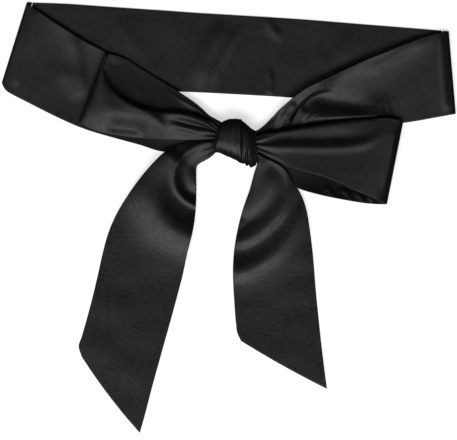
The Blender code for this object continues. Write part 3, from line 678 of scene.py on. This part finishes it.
# The left bow loop: out from the knot, round its soft fold and back again over itself, open inside. Its
# upper edge curls over the dark inside.
LOOP_LEFT = table(
    Section,
    (222.0, 123.6, 9.6, 219.0, 138.0, 9.2, 0, 0, 0),
    (212.0, 117.6, 9.4, 211.0, 139.0, 9.2, 0, 0, 0),
    (200.0, 106.6, 8.4, 198.0, 138.6, 8.8, 0, 0, 0),
    (182.0, 93.8, 5.8, 180.0, 138.0, 7.0, 0, 0, 0),
    (160.0, 80.2, 4.6, 157.0, 137.2, 4.8, 0, 0, 0),
    (140.0, 67.6, 4.0, 134.0, 136.2, 4.0, 0, 0, 0),
    (124.0, 57.8, 4.0, 112.0, 133.8, 3.8, 0, 0, 0),
    (114.0, 54.6, 4.4, 94.0, 130.0, 3.8, 0, 0, 0),
    (109.2, 53.9, 5.8, 86.4, 127.2, 3.9, 0, 0, 0),
    (106.6, 53.6, 7.4, 81.8, 124.4, 4.6, 0, 0, 0),
    (105.4, 53.8, 9.6, 79.4, 122.0, 6.0, 0, 0, 0),
    (105.8, 54.6, 12.2, 80.0, 122.2, 7.6, 0, 0, 0),
    (106.2, 56.0, 12.2, 82.4, 123.6, 8.8, 1.0, 0, 0),
    (105.8, 59.0, 12.2, 86.6, 126.4, 9.2, 2.0, 0, 0),
    (104.4, 64.0, 12.2, 92.0, 129.6, 9.2, 3.0, 0, 0),
    (104.4, 71.0, 12.4, 98.6, 132.2, 9.0, 3.8, 0, 0),
    (106.6, 79.0, 12.8, 106.0, 133.8, 8.8, 4.2, 0, 0),
    (112.0, 88.0, 13.4, 114.0, 135.2, 8.6, 4.4, 0, 0),
    (120.4, 96.2, 14.2, 123.0, 136.6, 8.6, 4.2, 0, 0),
    (130.6, 103.2, 15.0, 133.0, 137.8, 8.8, 3.8, 0, 0),
    (142.0, 108.6, 15.6, 144.0, 138.8, 9.2, 3.2, 0, 0),
    (154.0, 111.4, 16.0, 156.0, 139.6, 9.8, 2.6, 0, 0),
    (168.0, 112.2, 16.2, 170.0, 140.0, 10.6, 2.0, 0, 0),
    (184.0, 113.4, 16.0, 186.0, 140.2, 11.4, 1.2, 0, 0),
    (199.0, 116.8, 15.8, 200.0, 140.0, 12.4, 0.8, 0, 0),
    (211.5, 122.4, 14.0, 211.5, 139.2, 12.4, 0.3, 0, 0),
    (220.5, 129.8, 12.0, 219.0, 138.0, 11.6, 0, 0, 0),
)
LOOP_LEFT_TURN = 10
LOOP_LEFT_ROLLED_AFTER = 12.3
LOOP_LEFT_FOLDS = table(
    Fold,
    (1.9, 5, 6, 0.3, 0.2, ((108, 78), (116, 92), (129, 102), (143, 109), (154, 117), (162, 128),
                           (167, 137))),
    (1.2, 12, 9, 0.15, 0.2, ((82, 120), (102, 114), (124, 111), (142, 115), (153, 123), (161, 131))),
    (-3.0, 9, 5.5, 0.3, 0.3, ((102, 126), (118, 127.5), (136, 129.5), (150, 133))),
    (1.5, 4, 4, 0.3, 0.2, ((158, 115), (178, 114.5), (200, 120), (216, 127))),
    (-1.5, 3, 3, 0.3, 0.1, ((168, 119), (188, 124), (206, 128), (218, 132))),
    (1.3, 3, 3, 0.3, 0.3, ((166, 124), (184, 128), (199, 133), (214, 135))),
)
LOOP_LEFT_REAR_FOLDS = table(
    Fold,
    (3.8, 26, 14, 0.15, 0.3, ((90, 98), (116, 106), (142, 114), (172, 126), (196, 133))),
)
LOOP_LEFT_REAR_GATHERS = table(
    Gather,
    (12, 4, 1.7, 70),
    (26, 4, -1.6, 58),
    (39, 4, 1.8, 64),
    (53, 4, -1.5, 54),
    (66, 4, 1.6, 60),
)
LOOP_LEFT_FRONT_GATHERS = table(
    Gather,
    (8, 5, 1.1, 50),
    (19, 4, -1.0, 42),
    (31, 4, 1.0, 56),
    (42, 4, -0.9, 38),
    (53, 4, 0.9, 46),
    (64, 4, -0.8, 36),
    (73, 4, 0.7, 52),
)


def add_loop_folds(grid, number, turn, rear_folds, front_folds):
    """Folds of the rear layer up to the loop's turn, and of its front layer after it."""
    front = smooth_step(number - turn)[:, None]
    rear = smooth_step(turn - 1 - number)[:, None]
    grid[..., 2] += fold_rise(grid, front_folds) * front + fold_rise(grid, rear_folds) * rear
    return grid


grid, number, cut = strip(LOOP_LEFT, rolled_after=LOOP_LEFT_ROLLED_AFTER)
grid = add_loop_folds(grid, number, LOOP_LEFT_TURN, LOOP_LEFT_REAR_FOLDS, LOOP_LEFT_FOLDS)
grid = gathered(grid, cut, cut[..., 1], LOOP_LEFT_REAR_GATHERS)
grid = gathered(grid, cut, cut[-1, 0, 1] - cut[..., 1], LOOP_LEFT_FRONT_GATHERS)
grid = lived_in(grid, cut, seed=21, unevenness=0.1)
grid = lie_on(grid, [waist_left_top, tail_left_top])
loop_left = sewn_tube("bow_loop_left_satin", grid, cut)
dress(loop_left, "bow_loop_left")


# The right bow loop: made the same way, with a deep valley from the knot to its far corner.
LOOP_RIGHT = table(
    Section,
    (249.5, 138.5, 9.0, 249.5, 148.0, 9.0, 0, 0, 0),
    (262.0, 135.4, 8.2, 260.0, 158.0, 4.4, 0, 0, 0),
    (276.0, 133.4, 6.4, 276.0, 175.0, 1.8, 0, 0, 0),
    (294.0, 130.6, 4.6, 297.0, 188.0, 0.9, 0, 0, 5.6),
    (314.0, 127.6, 3.2, 320.0, 195.0, 0.7, 0, 0, 8.4),
    (336.0, 124.6, 2.4, 342.0, 199.6, 0.6, 0, 0, 8.6),
    (360.0, 122.2, 2.2, 364.0, 203.2, 0.6, 0, 0, 6.0),
    (382.0, 121.0, 2.2, 376.0, 204.2, 0.6, 0, 0, 2.0),
    (394.8, 121.0, 2.4, 381.8, 204.4, 0.7, 0, 0, 0),
    (400.6, 121.4, 3.2, 385.4, 204.4, 1.4, 0, 0, 0),
    (403.2, 122.4, 5.0, 386.8, 204.2, 2.8, 0, 0, 0),
    (402.0, 121.4, 8.0, 386.0, 203.8, 4.6, 0.4, 0, 0),
    (398.4, 119.6, 9.8, 382.4, 202.2, 7.0, 0.8, 0, 0),
    (393.0, 118.4, 10.8, 377.4, 200.4, 9.4, 1.0, 0, 0),
    (384.0, 118.0, 11.2, 370.0, 197.0, 11.6, 1.0, 0, 0),
    (370.0, 118.6, 11.4, 360.0, 193.0, 13.4, 0.7, 0, 0),
    (354.0, 120.0, 11.6, 349.0, 188.0, 14.6, 0.5, 0, 0),
    (336.0, 122.2, 12.0, 334.0, 181.0, 15.2, 0.4, 0, 0),
    (318.0, 124.8, 12.4, 317.0, 175.0, 15.4, 0.4, 0, 0),
    (300.0, 127.6, 12.8, 301.0, 170.8, 15.2, 0.4, 0, 0),
    (285.0, 130.2, 13.2, 288.0, 166.8, 14.6, 0.4, 0, 0),
    (272.0, 132.6, 13.8, 275.0, 160.0, 13.0, 1.0, 0, 0),
    (262.0, 134.6, 13.0, 263.0, 154.0, 12.8, 0.6, 0, 0),
    (255.5, 137.0, 12.2, 255.5, 150.4, 12.4, 0.3, 0, 0),
    (249.0, 139.4, 12.0, 249.0, 148.6, 12.2, 0, 0, 0),
)
LOOP_RIGHT_TURN = 10
LOOP_RIGHT_FOLDS = table(
    Fold,
    (-2.2, 9, 5.5, 0.2, 0.3, ((252, 140.5), (285, 139.5), (320, 139), (350, 137), (376, 130))),
    (1.6, 5, 5, 0.2, 0.25, ((264, 146), (300, 146.5), (344, 146.5), (366, 143), (379, 134), (385, 124))),
    (1.2, 5, 5, 0.2, 0.3, ((394, 122), (393, 140), (390, 160), (386, 180), (382, 198))),
)
LOOP_RIGHT_REAR_FOLDS = table(
    Fold,
    (1.5, 2, 3, 0.4, 0.3, ((322, 186), (330, 191), (334, 199))),
    (1.3, 3, 2, 0.4, 0.3, ((338, 189), (347, 194), (350, 202))),
    (1.6, 2, 3, 0.4, 0.3, ((351, 192), (361, 197), (364, 204))),
    (1.2, 2, 2, 0.4, 0.3, ((364, 196), (372, 200), (373, 205))),
)
LOOP_RIGHT_REAR_GATHERS = table(
    Gather,
    (13, 5, 0.9, 52),
    (27, 5, -0.9, 60),
    (41, 5, 0.9, 46),
    (55, 5, -0.8, 58),
    (68, 5, 0.8, 40),
)
LOOP_RIGHT_FRONT_GATHERS = table(
    Gather,
    (7, 4, 0.7, 40),
    (18, 4, -0.8, 34),
    (30, 4, 0.8, 46),
    (42, 4, -0.8, 36),
    (53, 4, 0.8, 52),
    (64, 4, -0.8, 38),
    (73, 4, 0.7, 44),
)

grid, number, cut = strip(LOOP_RIGHT, rolled_after=LOOP_RIGHT_TURN)
grid = add_loop_folds(grid, number, LOOP_RIGHT_TURN, LOOP_RIGHT_REAR_FOLDS, LOOP_RIGHT_FOLDS)
grid = gathered(grid, cut, cut[..., 1], LOOP_RIGHT_REAR_GATHERS)
grid = gathered(grid, cut, cut[-1, 0, 1] - cut[..., 1], LOOP_RIGHT_FRONT_GATHERS)
grid = lived_in(grid, cut, seed=34, unevenness=0.1)
grid = lie_on(grid, [waist_right_top])
loop_right = sewn_tube("bow_loop_right_satin", grid, cut)
dress(loop_right, "bow_loop_right")


# The right tail: it leaves the knot at its lower right, with two deep curved ridges across it, and ends
# in a slanted hem.
TAIL_RIGHT = table(
    Section,
    (251.5, 159.6, 8.8, 251.0, 153.0, 9.0, 0, 0, 0),
    (257.4, 163.6, 7.8, 258.0, 154.2, 9.2, 0.4, 0, 0),
    (254.9, 171.0, 6.0, 265.0, 158.4, 9.0, 1.0, 0, 0),
    (252.4, 179.6, 4.8, 275.0, 162.6, 8.4, 2.0, 0, 0),
    (249.6, 190.0, 3.6, 284.5, 169.0, 7.2, 3.0, 0, 0),
    (245.4, 201.5, 2.6, 291.0, 178.4, 5.8, 4.0, 0, 0),
    (241.2, 214.5, 1.8, 298.2, 189.2, 4.3, 4.6, 0, 0),
    (237.6, 229.0, 1.2, 303.6, 200.4, 3.2, 4.6, 0, 0),
    (234.8, 244.5, 0.9, 307.2, 213.0, 2.2, 4.2, 0, 0),
    (233.2, 260.0, 0.7, 309.6, 228.0, 1.5, 3.4, 0, 0),
    (232.9, 275.0, 0.6, 312.0, 246.0, 1.0, 2.4, 0, 0),
    (233.4, 289.0, 0.6, 314.0, 267.0, 0.7, 1.2, 0, 0),
    (234.2, 302.0, 0.6, 315.8, 290.0, 0.6, 0.4, 0, 0),
    (235.0, 314.0, 0.6, 318.4, 316.0, 0.6, 0, 0, 0),
    (236.0, 324.4, 0.6, 321.0, 341.0, 0.6, 0, 0, 0),
    (237.2, 333.0, 0.6, 324.0, 366.0, 0.6, 0, 0, 0),
    (241.0, 341.0, 0.6, 327.0, 389.0, 0.6, 0, 0, 0),
)
TAIL_RIGHT_HEM_BOW = 1.2
TAIL_RIGHT_FOLDS = table(
    Fold,
    (0.7, 5.0, 5.0, 0.1, 0.1, ((264, 155), (279, 163), (287, 171), (289.2, 182), (288, 195), (283, 208),
                               (273, 221), (262, 231.5), (250, 239.5), (238, 243), (226, 244))),
    (-1.8, 5.0, 13, 0.15, 0.6, ((264, 161), (274, 168), (281, 177), (282.4, 188), (278, 200), (270, 211))),
    (-2.8, 8, 9, 0.5, 0.1, ((279, 176), (274, 193), (266.5, 207), (255, 217), (242, 224), (226, 228))),
    (-2.2, 13, 7, 0.2, 0.2, ((298, 184), (297, 201), (290, 215), (279, 228.5), (267, 239), (254, 247),
                             (240, 252), (226, 254))),
    (2.8, 8.5, 12, 0.15, 0.1, ((316, 190), (308, 203), (299, 217), (288, 237), (272, 254.5), (258, 263.5),
                               (245, 270), (232, 272), (220, 268))),
)
TAIL_RIGHT_GATHERS = table(
    Gather,
    (16, 5, 0.8, 18),
    (30, 5, -0.8, 14),
    (45, 5, 0.7, 20),
    (60, 5, -0.6, 14),
)

grid, number, cut = strip(TAIL_RIGHT, TAIL_RIGHT_HEM_BOW, hemmed=True)
grid[..., 2] += fold_rise(grid, TAIL_RIGHT_FOLDS)
grid = gathered(grid, cut, cut[..., 1], TAIL_RIGHT_GATHERS)
grid = lived_in(grid, cut, seed=55)
grid = lie_on(grid, [])
tail_right = sewn_tube("tail_right_satin", grid, cut)
dress(tail_right, "tail_right")


# The knot: the strip wound twice round the gathered middle, over the top and tucked in below. Its turns
# lie side by side: the left one is wide and ends in a folded edge, and the right one is narrow and
# crushed into small pleats towards its lower end.
Ring = namedtuple("Ring", "top_x top_y low_x low_y height")
KNOT = table(
    Ring,
    (222.6, 123.0, 215.8, 151.6, 17.6),
    (223.6, 121.6, 217.4, 152.6, 20.6),
    (226.4, 120.0, 221.2, 153.4, 22.4),
    (230.6, 119.0, 227.2, 156.6, 23.6),
    (237.0, 119.0, 235.0, 160.0, 24.4),
    (241.2, 119.6, 240.8, 163.6, 24.6),
    (242.0, 120.6, 241.8, 163.6, 21.8),
    (246.6, 124.4, 247.0, 165.6, 21.6),
    (251.0, 128.4, 251.8, 167.6, 20.4),
    (254.8, 130.6, 255.6, 165.6, 17.8),
)
KNOT_ROUND = 168
KNOT_TOP_SQUARENESS = 3.3
KNOT_LOW_SQUARENESS = 2.35
KNOT_CREST_SHIFT = 0.8
KNOT_WALL = 1.5
KNOT_SPACING = 0.4
KNOT_SMOOTHING = 2
LIP = 1.2
LIP_STEPS = 9

# A pleat runs round the knot so far along it from its left end. It is so wide, stands so far out, and at
# the knot's lower side so far.
Pleat = namedtuple("Pleat", "along width rise low_rise")
KNOT_PLEATS = table(
    Pleat,
    (4.0, 1.4, -0.20, -0.10),
    (8.0, 1.2, 0.10, 0.06),
    (12.0, 1.3, -0.12, -0.12),
    (15.6, 1.0, 0.14, 0.08),
    (18.6, 0.9, -0.14, -0.16),
    (21.0, 0.7, 0.20, 0.10),
    (26.6, 1.0, 0, -0.9),
    (28.8, 0.9, 0, 1.0),
    (31.2, 0.8, 0, -1.2),
    (33.2, 0.9, 0, 0.9),
)
# The knot's lower side, from 0 in its middle to -1 at its lower edge: where it begins and how fast it does.
LOWER_SIDE = -0.1
LOWER_FADE = 0.5

# The wide turn's left edge bulges towards the left loop, from so far up the knot to its top.
BULGE = 3.2
BULGE_END = 229.0
BULGE_LENGTH = 12.0
BULGE_FROM = 6.0
BULGE_HEIGHT = 12.0


def knot_ring(ring, inset, along=None, shift=0.0):
    """Points round one ring of the knot, set in from its outside and moved along the knot."""
    top = np.array(ring[0:2])
    low = np.array(ring[2:4])
    height = ring[4]
    middle, half = (top + low) / 2, (top - low) / 2
    length = np.linalg.norm(half)
    angle = np.arange(KNOT_ROUND) * 2 * np.pi / KNOT_ROUND
    power = 2 / np.where(np.cos(angle) > 0, KNOT_TOP_SQUARENESS, KNOT_LOW_SQUARENESS)
    side = np.sign(np.cos(angle)) * np.abs(np.cos(angle)) ** power
    up = np.sign(np.sin(angle)) * np.abs(np.sin(angle)) ** power
    proud = np.zeros(KNOT_ROUND)
    if along is not None:
        for pleat in KNOT_PLEATS:
            lower = smooth_step((LOWER_SIDE - side) / LOWER_FADE)
            rise = pleat.rise * (1 - lower) + pleat.low_rise * lower
            proud += rise * np.exp(-(((along - pleat.along) / pleat.width) ** 2))
        proud = np.where(up < 0, proud * (1 + up), proud)
    across = half / length * (length - inset)
    tall = height / 2 - inset + proud
    crest = KNOT_CREST_SHIFT * np.clip(up, 0, 1) * (1 - side**2)
    x = middle[0] + side * across[0] + shift
    y = middle[1] + side * (across[1] - proud) + crest
    return np.stack([x, y, height / 2 + up * tall], axis=-1)


def knot_lip(ring, along, way):
    """The rounded rim at one end of the knot, from its outside in."""
    lip = []
    for turn in np.linspace(0, math.pi, LIP_STEPS)[1:-1]:
        inset = KNOT_WALL / 2 * (1 - math.cos(turn))
        lip.append(knot_ring(ring, inset, along, way * LIP / 2 * math.sin(turn)))
    return lip


rings = np.array(KNOT, float)
knots = lengths_along((rings[:, 0:2] + rings[:, 2:4]) / 2)
at = np.linspace(0, knots[-1], math.ceil(knots[-1] / KNOT_SPACING))
rings = softened(np.stack([np.interp(at, knots, column) for column in rings.T], axis=1), KNOT_SMOOTHING)
outer = [knot_ring(ring, 0.0, along) for ring, along in zip(rings, at)]
inner = [knot_ring(ring, KNOT_WALL) for ring in rings]
left_lip = knot_lip(rings[0], 0.0, -1)
right_lip = knot_lip(rings[-1], knots[-1], 1)
turns = np.array(outer + right_lip + inner[::-1] + left_lip[::-1])
bulge = smooth_step((BULGE_END - turns[..., 0]) / BULGE_LENGTH)
bulge *= smooth_step((turns[..., 2] - BULGE_FROM) / BULGE_HEIGHT)
turns[..., 0] -= BULGE * bulge
count, sides = turns.shape[:2]
number = np.arange(count * sides).reshape(count, sides)
faces = []
for i in range(count):
    for j in range(sides):
        k, m = (i + 1) % count, (j + 1) % sides
        faces.append((int(number[i, j]), int(number[i, m]), int(number[k, m]), int(number[k, j])))
mesh = bpy.data.meshes.new("knot_satin")
mesh.from_pydata([tuple(p) for p in in_metres(turns.reshape(-1, 3))], [], faces)
layer = mesh.uv_layers.new(name="cloth")
round_knot = lengths_along(outer[len(outer) // 2])
for face in mesh.polygons:
    for k, loop in zip(face.vertices, face.loop_indices):
        layer.data[loop].uv = ((k // sides) * KNOT_SPACING * MM, round_knot[k % sides] * MM)
knot = as_piece("knot_satin", mesh)
dress(knot, "knot")


# The surface that the sash lies on: plain, matt and near white. It glows a little to the camera alone, so
# that it stays white round the black satin.
FLOOR_HALF = 1.5
FLOOR_DROP = 0.0003
FLOOR_GLOW = 0.62
mesh = bpy.data.meshes.new("floor")
corners = [(x * FLOOR_HALF, y * FLOOR_HALF, -FLOOR_DROP) for x, y in ((-1, -1), (1, -1), (1, 1), (-1, 1))]
mesh.from_pydata(corners, [], [(0, 1, 2, 3)])
floor = bpy.data.objects.new("floor", mesh)
bpy.context.scene.collection.objects.link(floor)
paper = bpy.data.materials.new("white_paper")
paper.use_nodes = True
nodes, links = paper.node_tree.nodes, paper.node_tree.links
shader = nodes["Principled BSDF"]
shader.inputs["Roughness"].default_value = 0.8
shader.inputs["Specular IOR Level"].default_value = 0.1
shader.inputs["Emission Color"].default_value = (1, 1, 1, 1)
seen = nodes.new("ShaderNodeLightPath").outputs["Is Camera Ray"]
glow = nodes.new("ShaderNodeMath")
glow.operation = "MULTIPLY"
glow.inputs[1].default_value = FLOOR_GLOW
links.new(seen, glow.inputs[0])
links.new(glow.outputs[0], shader.inputs["Emission Strength"])
shade = nodes.new("ShaderNodeMix")
shade.data_type = "RGBA"
shade.inputs["A"].default_value = (0.14, 0.14, 0.14, 1)
shade.inputs["B"].default_value = (0.88, 0.88, 0.88, 1)
links.new(seen, shade.inputs["Factor"])
links.new(shade.outputs["Result"], shader.inputs["Base Color"])
mesh.materials.append(paper)


# Soft studio light: a wide softbox beyond the tails, a weaker one at the left, and a dim pale room.
Softbox = namedtuple("Softbox", "x y z width height power")
SOFTBOXES = {
    "softbox_front": Softbox(0.2, -3.4, 4.8, 5.6, 2.6, 190.0),
    "softbox_left": Softbox(-3.8, -1.7, 4.5, 2.2, 3.0, 80.0),
}
for name, box in SOFTBOXES.items():
    light = bpy.data.lights.new(name, "AREA")
    light.shape = "RECTANGLE"
    light.size = box.width
    light.size_y = box.height
    light.energy = box.power
    lamp = bpy.data.objects.new(name, light)
    lamp.location = (box.x, box.y, box.z)
    lamp.rotation_euler = (-lamp.location).to_track_quat("-Z", "Y").to_euler()
    bpy.context.scene.collection.objects.link(lamp)
room = bpy.data.worlds.new("room")
room.use_nodes = True
room.node_tree.nodes["Background"].inputs["Color"].default_value = (1, 1, 1, 1)
room.node_tree.nodes["Background"].inputs["Strength"].default_value = 0.03
bpy.context.scene.world = room
bpy.context.scene.view_settings.view_transform = "Standard"
